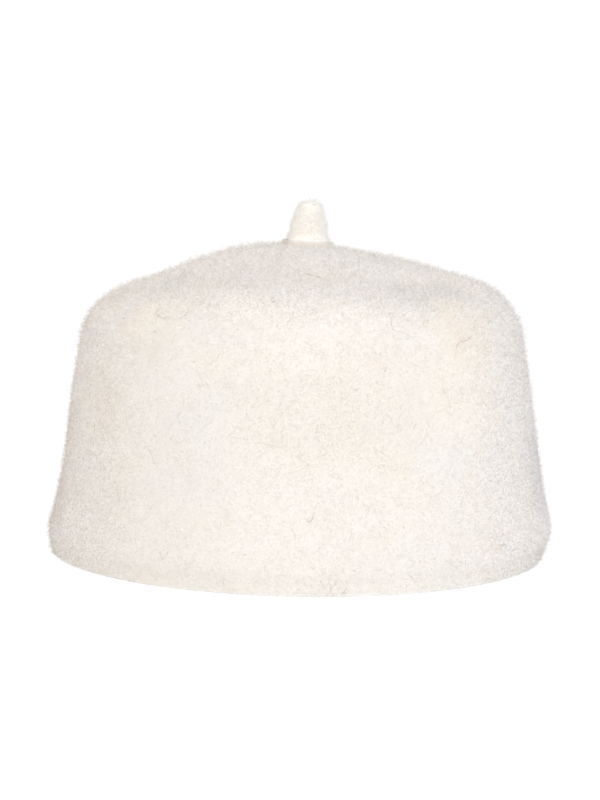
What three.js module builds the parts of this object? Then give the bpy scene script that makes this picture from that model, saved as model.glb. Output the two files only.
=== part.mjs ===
// A plain white felt cap: a round crown of thick wool felt, shaped over a block, with a stub of
// rolled felt standing on top of it.
// Millimetres, +Z up. The origin is the middle of the rim, on the surface that the cap stands on.
// The front of the cap faces -Y, and its right side, seen from the front, is +X.
import * as THREE from "three";

// Driving sizes of the crown
const RIM_RADIUS = 94.8; // outside of the rim, where it is widest
const RIM_OVAL = 0.03; // how much longer the rim is from front right to back left, as a share
const CROWN_RADIUS = 83.2; // outside of the side wall, where the shoulder starts
const WALL_HEIGHT = 77.5; // from the surface up to the start of the shoulder
const TOP_RISE = 37.3; // from the start of the shoulder up to the middle of the crown
const CROWN_LEAN = 1.35; // how far the wall's upper end stands to the right of the rim
const FELT = 3; // thickness of the felt
const EDGE_ROUND = 0.9; // rounding of the two corners of the cut edge

// Driving sizes of the nub
const NUB_RADIUS = 7.6; // outside of the nub, just over its foot
const NUB_HEIGHT = 15.6; // from the crown up to the nub's tip
const NUB_PLACE = { x: 1.7, y: 0 }; // middle of the foot, from the middle of the crown
const NUB_LEAN = 0.9; // how far the tip stands to the right of the foot
const SEAT_GAP = 0.3; // between the crown and the nub's foot

// Fineness of the surfaces
const TURNS = 72; // steps round the crown
const NUB_TURNS = 28; // steps round the nub
const OUTER_STEPS = 38; // steps along the outside, from the edge to the middle
const INNER_STEPS = 27; // steps along the inside
const NUB_STEPS = 18; // steps along the nub, from its foot to its tip
const ROUND_STEPS = 3; // steps along each rounded corner

// The side wall, a row for each level. Height is a share of WALL_HEIGHT, and flare a share of
// the way from CROWN_RADIUS out to RIM_RADIUS.
const WALL = [
  { level: "cut edge", height: 0.0, flare: 0.87 },
  { level: "widest", height: 0.07, flare: 1.0 },
  { level: "top of lip", height: 0.125, flare: 0.985 },
  { level: "flare", height: 0.22, flare: 0.815 },
  { level: "end of flare", height: 0.32, flare: 0.675 },
  { level: "low wall", height: 0.42, flare: 0.565 },
  { level: "middle", height: 0.56, flare: 0.44 },
  { level: "high wall", height: 0.78, flare: 0.25 },
  { level: "start of shoulder", height: 1.0, flare: 0.0 },
];

// The crown's top, a row for each ring. Reach is a share of CROWN_RADIUS, and rise of TOP_RISE.
const TOP = [
  { ring: "low shoulder", reach: 0.99, rise: 0.14 },
  { ring: "shoulder", reach: 0.957, rise: 0.31 },
  { ring: "over the shoulder", reach: 0.887, rise: 0.475 },
  { ring: "ledge", reach: 0.78, rise: 0.597 },
  { ring: "foot of the mound", reach: 0.65, rise: 0.683 },
  { ring: "slope of the mound", reach: 0.5, rise: 0.804 },
  { ring: "brow of the mound", reach: 0.33, rise: 0.925 },
  { ring: "mound", reach: 0.15, rise: 0.99 },
  { ring: "middle", reach: 0.0, rise: 1.0 },
];

// Hollows and swells that the hand left in the wall, a row for each. Turn is in degrees from
// the right-hand side, so that -90 is the front. Height and tall are shares of WALL_HEIGHT,
// wide is in degrees, and depth a share of FELT, below zero where the felt swells out.
const WALL_DENTS = [
  { place: "right of the front", turn: -52, height: 0.42, wide: 13, tall: 0.16, depth: 0.28 },
  { place: "left of the front", turn: -128, height: 0.62, wide: 16, tall: 0.2, depth: 0.2 },
  { place: "low on the left", turn: -152, height: 0.35, wide: 12, tall: 0.18, depth: 0.22 },
  { place: "high in front", turn: -84, height: 0.8, wide: 20, tall: 0.16, depth: -0.15 },
  { place: "edge tucked in on the right", turn: -12, height: 0, wide: 24, tall: 0.1, depth: 0.8 },
  { place: "back left", turn: 140, height: 0.45, wide: 18, tall: 0.22, depth: 0.3 },
  { place: "back right", turn: 62, height: 0.66, wide: 17, tall: 0.2, depth: 0.25 },
];

// The same for the crown's top. X, y and wide are shares of CROWN_RADIUS, and lift is a share
// of TOP_RISE, below zero where the felt sinks in.
const TOP_DENTS = [
  { place: "fuller shoulder on the right", x: 0.8, y: -0.15, wide: 0.38, lift: 0.056 },
  { place: "crest left of the nub", x: -0.4, y: 0.0, wide: 0.26, lift: 0.032 },
  { place: "slope right of the nub", x: 0.27, y: 0.0, wide: 0.2, lift: -0.04 },
  { place: "valley in front on the left", x: -0.58, y: -0.48, wide: 0.24, lift: -0.045 },
  { place: "valley in front on the right", x: 0.5, y: -0.6, wide: 0.24, lift: -0.055 },
  { place: "valley at the back", x: 0.1, y: 0.74, wide: 0.26, lift: -0.04 },
];

// The nub, a row for each level. Height is a share of NUB_HEIGHT, and reach of NUB_RADIUS.
const NUB = [
  { level: "edge of the foot", height: 0.0, reach: 1.3 },
  { level: "top of that edge", height: 0.025, reach: 1.31 },
  { level: "foot", height: 0.1, reach: 1.14 },
  { level: "over the foot", height: 0.2, reach: 1.03 },
  { level: "low side", height: 0.38, reach: 0.98 },
  { level: "high side", height: 0.65, reach: 0.84 },
  { level: "start of the tip", height: 0.82, reach: 0.71 },
  { level: "tip's round", height: 0.93, reach: 0.5 },
  { level: "over the round", height: 0.985, reach: 0.22 },
  { level: "tip", height: 1.0, reach: 0.0 },
];

const bell = (distance, width) => Math.exp(-((distance / width) ** 2));

// The outside of the felt as one smooth line, from just over the edge to the middle of the top.
function outerLine() {
  const flare = RIM_RADIUS - CROWN_RADIUS;
  const wallTop = WALL_HEIGHT - EDGE_ROUND;
  const wall = WALL.map(
    (row) =>
      new THREE.Vector2(CROWN_RADIUS + flare * row.flare, EDGE_ROUND + wallTop * row.height),
  );
  const top = TOP.map(
    (row) => new THREE.Vector2(CROWN_RADIUS * row.reach, WALL_HEIGHT + TOP_RISE * row.rise),
  );
  return new THREE.SplineCurve([...wall, ...top]);
}

// A point of the line moved square to it into the felt, by the felt's thickness. The move is
// level at the edge and upright at the middle, so that the edge stays flat.
function innerPoint(line, along) {
  const point = line.getPoint(along);
  const way = line.getTangent(along);
  const inward = new THREE.Vector2(-way.y, way.x);
  const near = Math.min(1, (point.y - EDGE_ROUND) / (2 * FELT));
  inward.y *= near;
  return point.add(inward.normalize().multiplyScalar(FELT));
}

// A quarter round from one corner of the cut edge to the next.
function quarterRound(centre, from, to) {
  const points = [];
  for (let i = 1; i < ROUND_STEPS; i++) {
    const angle = from + ((to - from) * i) / ROUND_STEPS;
    points.push(
      new THREE.Vector2(
        centre.x + EDGE_ROUND * Math.cos(angle),
        centre.y + EDGE_ROUND * Math.sin(angle),
      ),
    );
  }
  return points;
}

// The whole closed section of the felt: down the inside from the axis, round the cut edge, and
// up the outside to the axis again.
function feltSection() {
  const line = outerLine();
  const outside = [];
  for (let i = 0; i <= OUTER_STEPS; i++) outside.push(line.getPoint(i / OUTER_STEPS));
  const inside = [];
  for (let i = INNER_STEPS; i >= 0; i--) inside.push(innerPoint(line, i / INNER_STEPS));
  inside[0].x = 0;
  outside[OUTER_STEPS].x = 0;
  const outerCorner = outside[0];
  const innerCorner = inside[INNER_STEPS];
  const innerCentre = new THREE.Vector2(innerCorner.x + EDGE_ROUND, EDGE_ROUND);
  const outerCentre = new THREE.Vector2(outerCorner.x - EDGE_ROUND, EDGE_ROUND);
  return [
    ...inside,
    ...quarterRound(innerCentre, Math.PI, 1.5 * Math.PI),
    new THREE.Vector2(innerCentre.x, 0),
    new THREE.Vector2(outerCentre.x, 0),
    ...quarterRound(outerCentre, 1.5 * Math.PI, 2 * Math.PI),
    ...outside,
  ];
}

// How far the wall is pushed in at a point, in millimetres.
function wallDent(x, y, z) {
  const turn = THREE.MathUtils.radToDeg(Math.atan2(y, x));
  let depth = 0;
  for (const dent of WALL_DENTS) {
    const off = THREE.MathUtils.euclideanModulo(turn - dent.turn + 180, 360) - 180;
    const level = z - WALL_HEIGHT * dent.height;
    depth +=
      FELT * dent.depth * bell(off, dent.wide) * bell(level, WALL_HEIGHT * dent.tall);
  }
  return depth;
}

// How far the top is lifted at a point, in millimetres. It fades out over the shoulder.
function topLift(x, y, z) {
  const over = THREE.MathUtils.smoothstep(z, WALL_HEIGHT, WALL_HEIGHT + TOP_RISE / 2);
  let lift = 0;
  for (const dent of TOP_DENTS) {
    const off = Math.hypot(x - CROWN_RADIUS * dent.x, y - CROWN_RADIUS * dent.y);
    lift += TOP_RISE * dent.lift * bell(off, CROWN_RADIUS * dent.wide);
  }
  return over * lift;
}

// Height of the crown's outside over a point near the middle of its top.
function crownHeight(x, y) {
  const line = outerLine();
  const radius = Math.hypot(x, y);
  let low = 0.5;
  let high = 1;
  for (let i = 0; i < 40; i++) {
    const middle = (low + high) / 2;
    if (line.getPoint(middle).x > radius) low = middle;
    else high = middle;
  }
  const z = line.getPoint(high).y;
  return z + topLift(x, y, z);
}

// A closed section turned round the upright axis, with its faces pointing out.
function turned(section, steps) {
  const shape = new THREE.LatheGeometry(section, steps);
  return shape.rotateX(Math.PI / 2);
}

// Moves each corner of a geometry to where the function sends it.
function reshape(shape, move) {
  const corners = shape.getAttribute("position");
  for (let i = 0; i < corners.count; i++) {
    const moved = move(corners.getX(i), corners.getY(i), corners.getZ(i));
    corners.setXYZ(i, ...moved);
  }
  shape.computeVertexNormals();
  return shape;
}

// A point moved to the right with its height, as the whole crown leans a little, and most of
// that over the flare.
function leaned(x, y, z) {
  const share = Math.max(z, 0) / WALL_HEIGHT;
  return [x + CROWN_LEAN * Math.sqrt(share), y, z];
}

// How far the oval of the rim pushes the wall out at a point, in millimetres. It is all gone
// at the start of the shoulder.
function ovalPush(x, y, z) {
  const low = 1 - THREE.MathUtils.smoothstep(z, 0, WALL_HEIGHT);
  const turn = Math.atan2(y, x);
  return -low * RIM_RADIUS * RIM_OVAL * Math.sin(2 * turn);
}

function crownShape() {
  return reshape(turned(feltSection(), TURNS), (x, y, z) => {
    const radius = Math.hypot(x, y);
    const push = ovalPush(x, y, z) - wallDent(x, y, z);
    const share = radius > 0 ? 1 + push / radius : 1;
    return leaned(x * share, y * share, z + topLift(x, y, z));
  });
}

// The nub's closed section: across the underside of the foot, and up the side over the tip.
function nubSection() {
  const line = new THREE.SplineCurve(
    NUB.map((row) => new THREE.Vector2(NUB_RADIUS * row.reach, NUB_HEIGHT * row.height)),
  );
  const side = line.getPoints(NUB_STEPS);
  side[NUB_STEPS].x = 0;
  const middle = new THREE.Vector2(0, 0);
  const halfway = new THREE.Vector2(side[0].x / 2, 0);
  return [middle, halfway, ...side];
}

function nubShape() {
  return reshape(turned(nubSection(), NUB_TURNS), (x, y, z) => {
    const placeX = x + NUB_PLACE.x;
    const placeY = y + NUB_PLACE.y;
    const seat = crownHeight(placeX, placeY) + SEAT_GAP;
    return leaned(placeX + NUB_LEAN * (z / NUB_HEIGHT), placeY, seat + z);
  });
}

const whiteFelt = new THREE.MeshStandardMaterial({
  color: 0xf3ede4,
  roughness: 0.95,
  metalness: 0,
});
const creamFelt = new THREE.MeshStandardMaterial({
  color: 0xf6efe2,
  roughness: 0.95,
  metalness: 0,
});

function named(name, shape, material) {
  const mesh = new THREE.Mesh(shape, material);
  mesh.name = name;
  return mesh;
}

const cap = new THREE.Group();
cap.add(named("crown", crownShape(), whiteFelt));
cap.add(named("nub", nubShape(), creamFelt));

export default cap;
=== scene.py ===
# %% [markdown]
# A plain cap of white wool felt. Its crown is one thick piece of felt, pressed and shaped over a
# block, and a short stub of felt stands on top. The felt has no weave: it is a mat of curled
# fibres. So the work here lies in a soft, slightly uneven surface, in tints and grain, and in
# the fuzz of loose fibres that blurs every edge.
#
# The construction, with its real sizes, is loaded as a fixed frame. Each finished piece stands
# exactly where its plain solid stands.

# %% Load the frame
import math
from collections import namedtuple

import bmesh
import bpy
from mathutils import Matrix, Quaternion, Vector
from mathutils.bvhtree import BVHTree


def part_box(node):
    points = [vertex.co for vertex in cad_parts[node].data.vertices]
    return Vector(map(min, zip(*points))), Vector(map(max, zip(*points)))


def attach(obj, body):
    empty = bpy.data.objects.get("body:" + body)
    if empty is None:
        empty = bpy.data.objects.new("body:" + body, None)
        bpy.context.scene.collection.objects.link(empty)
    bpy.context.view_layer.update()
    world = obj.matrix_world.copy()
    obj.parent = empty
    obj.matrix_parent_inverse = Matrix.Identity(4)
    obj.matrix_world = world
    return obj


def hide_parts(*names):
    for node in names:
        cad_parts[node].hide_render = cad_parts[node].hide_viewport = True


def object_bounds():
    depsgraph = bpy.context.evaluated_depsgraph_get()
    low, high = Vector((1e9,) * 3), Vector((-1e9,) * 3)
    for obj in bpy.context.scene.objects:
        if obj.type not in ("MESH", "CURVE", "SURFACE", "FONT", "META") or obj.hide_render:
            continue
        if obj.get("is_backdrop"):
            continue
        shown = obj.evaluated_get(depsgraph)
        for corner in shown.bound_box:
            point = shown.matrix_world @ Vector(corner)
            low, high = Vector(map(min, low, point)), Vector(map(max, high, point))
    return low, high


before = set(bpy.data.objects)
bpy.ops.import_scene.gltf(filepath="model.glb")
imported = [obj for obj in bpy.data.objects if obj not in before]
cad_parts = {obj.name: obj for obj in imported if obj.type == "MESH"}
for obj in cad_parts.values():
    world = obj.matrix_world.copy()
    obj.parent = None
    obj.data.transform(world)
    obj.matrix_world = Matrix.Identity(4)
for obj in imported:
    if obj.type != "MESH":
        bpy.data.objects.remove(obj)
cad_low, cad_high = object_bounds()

MM = 0.001
scene = bpy.context.scene
print("nodes:", sorted(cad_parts))
print("box in mm:", [round(v / MM, 1) for v in (*cad_low, *cad_high)])

# %% [markdown]
# The camera stands a little over the cap and looks down at it by about six degrees, so that the
# rim shows as a shallow curve and the mound's front slope is in sight. A long lens keeps the
# wall's sides nearly parallel. It is rolled by a third of a degree, as a hand-held one is.

# %% Camera
PICTURE_WIDTH = 600  # pixels
PICTURE_HEIGHT = 800
SENSOR = 36.0  # mm, along the picture's long side
LENS = 80.5  # mm
CAMERA_RIGHT = 0.75 * MM
CAMERA_AWAY = 669.6 * MM
CAMERA_HEIGHT = 123.4 * MM
CAMERA_ROLL = 0.3  # degrees
AIM_HEIGHT = 55.3 * MM
SEES_FROM = 10 * MM  # in front of the lens


def aim(thing, place, target, roll=0.0):
    """Puts an object at a place, with its view or light towards a target."""
    thing.location = place
    thing.rotation_mode = "QUATERNION"
    turn = (Vector(target) - Vector(place)).to_track_quat("-Z", "Y")
    thing.rotation_quaternion = turn @ Quaternion((0, 0, 1), math.radians(roll))


camera_data = bpy.data.cameras.new("camera")
camera_data.lens = LENS
camera_data.sensor_width = SENSOR
camera_data.clip_start = SEES_FROM
camera = bpy.data.objects.new("camera", camera_data)
scene.collection.objects.link(camera)
scene.camera = camera
aim(
    camera,
    (CAMERA_RIGHT, -CAMERA_AWAY, CAMERA_HEIGHT),
    (CAMERA_RIGHT, 0, AIM_HEIGHT),
    CAMERA_ROLL,
)
bpy.context.view_layer.update()
look_down = math.atan2(CAMERA_HEIGHT - AIM_HEIGHT, CAMERA_AWAY)
print("camera looks down by", round(math.degrees(look_down), 1), "degrees")

# %% [markdown]
# White things are hard to show on white. A studio uses a white tent, where light comes from all
# round, with one broad lamp in front. The same is done here. The tent is a world whose light
# depends only on the direction: cooler and weaker from above, cooler on the right and a little
# rosy on the left, so that the white wall gets an edge of its own on each side. The warm lamp
# stands in front, a little to the right and over the cap. It lights the wall and the front of the
# shoulder alike, and the top, which faces up, stays greyer and cooler.

# %% World
TENT_WARM = (1.0, 0.985, 0.965, 1)
TENT_COOL = (0.475, 0.57, 0.78, 1)
TENT_ROSE = (0.70, 0.645, 0.61, 1)
SKY_TINT = (0.98, 0.99, 1.05, 1)
TENT_LEVEL = 0.99  # strength near the horizon
TENT_ABOVE = 0.84  # strength straight above
WHITE = (1, 1, 1, 1)
SEEN_WHITE = 1.05  # strength where the camera looks past the cap
COOL_FROM, COOL_TO = 0.4, 1.0  # how far to the right, as a part of the direction
ROSE_FROM, ROSE_TO = -0.35, -1.0

scene.view_settings.view_transform = "Standard"
world = bpy.data.worlds.new("white_tent")
world.use_nodes = True
scene.world = world
tent = world.node_tree
tent.nodes.clear()


def add(group, kind, inputs=None, **settings):
    """A node of that kind, with its settings. Each input gets a socket's link or a plain value."""
    node = group.nodes.new(kind)
    for key, value in settings.items():
        setattr(node, key, value)
    for key, value in (inputs or {}).items():
        if isinstance(value, bpy.types.NodeSocket):
            group.links.new(value, node.inputs[key])
        else:
            node.inputs[key].default_value = value
    return node


def between(group, value, low, high, start=0.0, end=1.0, smooth=False):
    """A value moved from one range to another, and kept inside it."""
    mapped = add(
        group,
        "ShaderNodeMapRange",
        {"Value": value, "From Min": low, "From Max": high, "To Min": start, "To Max": end},
        interpolation_type="SMOOTHSTEP" if smooth else "LINEAR",
    )
    return mapped.outputs["Result"]


def blended(group, share, first, second, kind="MIX"):
    """Two colours mixed by a share. Each of the three may be a socket or a plain value."""
    inputs = {0: share, 6: first, 7: second}
    return add(group, "ShaderNodeMix", inputs, data_type="RGBA", blend_type=kind).outputs[2]


way = add(tent, "ShaderNodeTexCoord").outputs["Generated"]
parts = add(tent, "ShaderNodeSeparateXYZ", {"Vector": way}).outputs
on_right = between(tent, parts["X"], COOL_FROM, COOL_TO, smooth=True)
on_left = between(tent, parts["X"], ROSE_FROM, ROSE_TO, smooth=True)
above = between(tent, parts["Z"], 0.0, 1.0)
tent_colour = blended(tent, on_right, TENT_WARM, TENT_COOL)
tent_colour = blended(tent, on_left, tent_colour, TENT_ROSE)
tent_colour = blended(tent, above, tent_colour, SKY_TINT)
tent_strength = between(tent, above, 0.0, 1.0, TENT_LEVEL, TENT_ABOVE)
lighting = add(tent, "ShaderNodeBackground", {"Color": tent_colour, "Strength": tent_strength})
seen_white = add(tent, "ShaderNodeBackground", {"Color": WHITE, "Strength": SEEN_WHITE})
is_seen = add(tent, "ShaderNodeLightPath").outputs["Is Camera Ray"]
either = add(
    tent,
    "ShaderNodeMixShader",
    {"Fac": is_seen, 1: lighting.outputs["Background"], 2: seen_white.outputs["Background"]},
)
add(tent, "ShaderNodeOutputWorld", {"Surface": either.outputs["Shader"]})
print("tent nodes:", len(tent.nodes))

# %% [markdown]
# Two broad, soft lamps. The one in front gives the wall its brightness. The weaker one on the left
# keeps the wall's far side from sinking away. One lamp with a white reflector would do as well.

# %% Lamps
CAP_MIDDLE = Vector((0, 0, 60 * MM))
# Turn is to the right of the front and rise over the horizontal, in degrees. Away and side are in
# metres.
LAMPS = [
    {"name": "front", "turn": 18, "rise": 21, "away": 1.6, "side": 0.9, "watts": 7.0,
     "colour": (1.0, 0.97, 0.93)},
    {"name": "left", "turn": -48, "rise": 24, "away": 1.6, "side": 1.0, "watts": 1.1,
     "colour": (1.0, 0.93, 0.89)},
]


def around(turn, rise, away):
    """A place round the cap: degrees to the right of the front, degrees up, and distance."""
    flat = math.cos(math.radians(rise))
    side = Vector((math.sin(math.radians(turn)) * flat, -math.cos(math.radians(turn)) * flat, 0))
    side.z = math.sin(math.radians(rise))
    return CAP_MIDDLE + away * side


for row in LAMPS:
    lamp_data = bpy.data.lights.new(row["name"], "AREA")
    lamp_data.size = row["side"]
    lamp_data.energy = row["watts"]
    lamp_data.color = row["colour"]
    lamp = bpy.data.objects.new("lamp_" + row["name"], lamp_data)
    scene.collection.objects.link(lamp)
    aim(lamp, around(row["turn"], row["rise"], row["away"]), CAP_MIDDLE)
print("lamps:", len(LAMPS))

# %% [markdown]
# The floor is a plain pale disc under the rim. It takes a faint shadow of the cap. So that it
# stays as pale as the paper of a studio, it also glows a little where it is looked at.

# %% Floor
FLOOR_RADIUS = 4.0
FLOOR_DROP = 0.05 * MM  # just under the rim, so that the two faces don't fight
PAPER = (0.93, 0.935, 0.93, 1)
SHADE_SHARE = (0.18, 0.18, 0.18, 1)  # how much of the light, and so of the shadow, is seen on it
GLOW = 0.90

floor_mesh = bpy.data.meshes.new("floor")
floor_form = bmesh.new()
bmesh.ops.create_circle(floor_form, cap_ends=True, segments=96, radius=FLOOR_RADIUS)
floor_form.to_mesh(floor_mesh)
floor_form.free()
floor = bpy.data.objects.new("floor", floor_mesh)
floor.location.z = -FLOOR_DROP
scene.collection.objects.link(floor)
floor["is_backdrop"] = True

paper = bpy.data.materials.new("paper")
paper.use_nodes = True
tree = paper.node_tree
tree.nodes.clear()
bounce = add(tree, "ShaderNodeBsdfDiffuse", {"Color": PAPER})
shade = add(tree, "ShaderNodeBsdfDiffuse", {"Color": SHADE_SHARE})
glow = add(tree, "ShaderNodeEmission", {"Strength": GLOW})
pale = add(tree, "ShaderNodeAddShader", {0: shade.outputs["BSDF"], 1: glow.outputs["Emission"]})
is_seen = add(tree, "ShaderNodeLightPath").outputs["Is Camera Ray"]
either = add(
    tree,
    "ShaderNodeMixShader",
    {"Fac": is_seen, 1: bounce.outputs["BSDF"], 2: pale.outputs["Shader"]},
)
add(tree, "ShaderNodeOutputMaterial", {"Surface": either.outputs["Shader"]})
floor_mesh.materials.append(paper)
print("floor radius:", FLOOR_RADIUS, "m")

# %% [markdown]
# The crown's surface starts from the plain solid. Its loose triangles are merged, joined to
# four-sided faces again and divided twice, which rounds the shoulder and the cut edge.

# %% Merge and divide a copy of a solid
MERGE_WITHIN = 0.002 * MM
FLAT_ENOUGH = math.radians(30)  # between two triangles that may be joined
SQUARE_ENOUGH = math.radians(60)  # from a right angle, at a joined face's corners


def smooth_copy(node, name, levels):
    """A divided, four-sided copy of a solid's mesh, as an object of its own."""
    form = bmesh.new()
    form.from_mesh(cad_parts[node].data)
    bmesh.ops.remove_doubles(form, verts=form.verts, dist=MERGE_WITHIN)
    bmesh.ops.join_triangles(
        form,
        faces=form.faces,
        angle_face_threshold=FLAT_ENOUGH,
        angle_shape_threshold=SQUARE_ENOUGH,
    )
    mesh = bpy.data.meshes.new(name)
    form.to_mesh(mesh)
    form.free()
    piece = bpy.data.objects.new(name, mesh)
    scene.collection.objects.link(piece)
    divide = piece.modifiers.new("divide", "SUBSURF")
    divide.levels = levels
    divide.render_levels = levels
    return piece


# %% [markdown]
# Geometry Nodes shape the felt and grow its fibres. These helpers make a tree with named inputs,
# run it on a piece and do the sums in it. On the modifier an input goes by its socket's identifier,
# not by its name. The result is copied to a plain mesh, because the export needs one.


# %% Geometry node helpers
def new_tree(name, inputs):
    """A geometry node tree with a geometry in and out, and the named inputs."""
    group = bpy.data.node_groups.new(name, "GeometryNodeTree")
    group.interface.new_socket(name="Geometry", in_out="INPUT", socket_type="NodeSocketGeometry")
    group.interface.new_socket(name="Geometry", in_out="OUTPUT", socket_type="NodeSocketGeometry")
    for label, kind in inputs.items():
        group.interface.new_socket(name=label, in_out="INPUT", socket_type="NodeSocket" + kind)
    return group


def run_tree(piece, group, values):
    """Runs the tree on a piece and gives back what it makes, as a plain mesh."""
    modifier = piece.modifiers.new(group.name, "NODES")
    modifier.node_group = group
    sockets = {s.name: s.identifier for s in group.interface.items_tree if s.in_out == "INPUT"}
    for label, value in values.items():
        modifier[sockets[label]] = value
    graph = bpy.context.evaluated_depsgraph_get()
    graph.update()
    mesh = bpy.data.meshes.new_from_object(piece.evaluated_get(graph), depsgraph=graph)
    piece.modifiers.remove(modifier)
    return mesh


def maths(group, operation, first, second):
    """The result of a sum on two inputs, each a socket or a number."""
    return add(group, "ShaderNodeMath", {0: first, 1: second}, operation=operation).outputs[0]


def vectors(group, operation, first, second):
    """The result of a sum on two vectors. For some sums it is a number."""
    node = add(group, "ShaderNodeVectorMath", {0: first, 1: second}, operation=operation)
    return node.outputs["Value" if operation in ("DISTANCE", "DOT_PRODUCT") else "Vector"]


def scaled(group, vector, share):
    """A vector made longer or shorter."""
    node = add(group, "ShaderNodeVectorMath", {0: vector, "Scale": share}, operation="SCALE")
    return node.outputs["Vector"]


# %% [markdown]
# Real felt isn't even: pressing by hand leaves low lumps a few centimetres wide and smaller ones
# of a few millimetres. A short node tree moves the points along their normals by two layers of
# noise. The lumps are far lower than the felt is thick, so the wall never closes. It also draws
# the skin in by about a millimetre, and by more on top, because the outer part of the felt's
# thickness is nap, which is grown later. At the rim it isn't drawn in, so that the cap still stands
# on it, and the corners of the cut edge there are pressed flat by standing. Displacement in the
# shader could do it too, but then the mesh itself would stay smooth.

# %% The tree that makes felt uneven
RIM_KEPT = 0.5 * MM  # over the surface that the cap stands on
RIM_FREE = 4 * MM
SETTLED_BY, SETTLED_TO = 0.6 * MM, 1.7 * MM  # how far the cut edge's corners are pressed down
TOP_FROM, TOP_TO = 74 * MM, 92 * MM  # where the longer nap of the top starts, and is full

relief = new_tree(
    "felt_relief",
    {
        "Nap": "Float",
        "More on top": "Float",
        "Lump size": "Float",
        "Lump height": "Float",
        "Pimple size": "Float",
        "Pimple height": "Float",
        "Seed": "Float",
    },
)
given = relief.nodes.new("NodeGroupInput").outputs
position = add(relief, "GeometryNodeInputPosition").outputs["Position"]
normal = add(relief, "GeometryNodeInputNormal").outputs["Normal"]
up = add(relief, "ShaderNodeSeparateXYZ", {"Vector": position}).outputs["Z"]
free = between(relief, up, RIM_KEPT, RIM_FREE, 0.0, -1.0, smooth=True)
on_top = between(relief, up, TOP_FROM, TOP_TO, smooth=True)
nap = maths(relief, "ADD", given["Nap"], maths(relief, "MULTIPLY", on_top, given["More on top"]))
heights = [maths(relief, "MULTIPLY", free, nap)]
for size, height in (("Lump size", "Lump height"), ("Pimple size", "Pimple height")):
    noise = add(
        relief,
        "ShaderNodeTexNoise",
        {
            "Vector": position,
            "W": given["Seed"],
            "Scale": maths(relief, "DIVIDE", 1.0, given[size]),
            "Detail": 1.0,
            "Roughness": 0.5,
        },
        noise_dimensions="4D",
    ).outputs[0]
    level = maths(relief, "SUBTRACT", noise, 0.5)
    heights.append(maths(relief, "MULTIPLY", level, given[height]))
height = maths(relief, "ADD", heights[0], maths(relief, "ADD", heights[1], heights[2]))
move = scaled(relief, normal, height)
there = vectors(relief, "ADD", position, move)
spot = add(relief, "ShaderNodeSeparateXYZ", {"Vector": there}).outputs
pressed = between(relief, spot["Z"], 0.0, SETTLED_TO, SETTLED_BY, 0.0, smooth=True)
above = maths(relief, "MAXIMUM", maths(relief, "SUBTRACT", spot["Z"], pressed), 0.0)
standing = add(relief, "ShaderNodeCombineXYZ", {"X": spot["X"], "Y": spot["Y"], "Z": above})
moved = add(
    relief,
    "GeometryNodeSetPosition",
    {"Geometry": given["Geometry"], "Position": standing.outputs["Vector"]},
)
add(relief, "NodeGroupOutput", {"Geometry": moved.outputs["Geometry"]})
print("relief tree:", len(relief.nodes), "nodes")


# %% [markdown]
# Felt scatters light in its mat of fibres, so it has no gloss. Its colour is never one flat
# white: faint yellow, pink and grey patches from a few millimetres to a few centimetres wide lie
# over each other, with beige flecks where fibres have clumped. Close up each fibre is a little
# lighter or darker than the next. One node group makes the colour and one the grain, so that the
# crown, the stub and the fuzz share them.
#
# At the two sides and on top the grain and the flecks are stronger and the wool is a little darker.
# This is painted shade: the stronger contrast and the dimmer light where the light grazes the felt.
# The front and the back get less of both.


# %% Shader group: tints of wool
def shader_group(name, inputs, outputs):
    """An empty shader node group with those inputs and outputs."""
    group = bpy.data.node_groups.new(name, "ShaderNodeTree")
    for label, kind in inputs.items():
        group.interface.new_socket(name=label, in_out="INPUT", socket_type="NodeSocket" + kind)
    for label, kind in outputs.items():
        group.interface.new_socket(name=label, in_out="OUTPUT", socket_type="NodeSocket" + kind)
    return group


def patches(group, where, size, low, high, seed):
    """A mask of soft patches of about that size, 0 to 1."""
    noise = add(
        group,
        "ShaderNodeTexNoise",
        {"Vector": where, "W": seed, "Scale": 1 / size, "Detail": 2.0, "Roughness": 0.55},
        noise_dimensions="4D",
    )
    return between(group, noise.outputs[0], low, high)


# Each tint has the size of its patches, the noise from where it starts to where it is full, and
# its strength at the front and back (smooth) and at the sides and top (rough), where the darker
# flecks are painted shade.
Tint = namedtuple("Tint", "name mm start full seed colour smooth rough", defaults=(1.0, 1.0))
TINTS = [
    Tint("yellow", 27, 0.50, 0.68, 3, (1.0, 0.990, 0.960)),
    Tint("pink", 19, 0.50, 0.68, 11, (1.0, 0.979, 0.976)),
    Tint("grey", 23, 0.50, 0.68, 23, (0.972, 0.978, 0.981)),
    Tint("straw", 8, 0.52, 0.68, 5, (1.0, 0.989, 0.967)),
    Tint("rose", 6.5, 0.52, 0.68, 13, (1.0, 0.983, 0.982)),
    Tint("ash", 7, 0.52, 0.68, 17, (0.973, 0.98, 0.978)),
]
# The flecks are stronger at the sides and on top than at the front and back. There the darker ones,
# shade and speck most, are painted shade.
FLECKS = [
    Tint("beige", 1.9, 0.55, 0.70, 31, (0.955, 0.937, 0.912), 0.3, 1.8),
    Tint("pale", 1.5, 0.55, 0.72, 47, (1.04, 1.04, 1.04), 0.4, 1.7),
    Tint("shade", 1.15, 0.52, 0.64, 59, (0.935, 0.90, 0.87), 0.0, 1.4),
    Tint("speck", 0.5, 0.48, 0.62, 71, (0.90, 0.87, 0.84), 0.2, 1.8),
]
GRAIN_MIDDLE = 0.66
GRAIN_FRONT = 0.12  # contrast of the grain at the front and back; the sides and top get more, as painted shade
GRAIN_SIDES_AND_TOP = 0.95
GRAIN_WARMTH = (0.85, 1.0, 1.25)  # powers, so that a darker fibre is a warmer one
SIDE_STARTS, SIDE_ENDS = 42 * MM, 84 * MM  # to the left or right of the middle
TOP_STARTS, TOP_ENDS = 84 * MM, 96 * MM  # over the rim
TOP_COARSE_AND_SHADED = 0.75  # the top gets a little less of the stronger grain and painted shade than the sides

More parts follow.
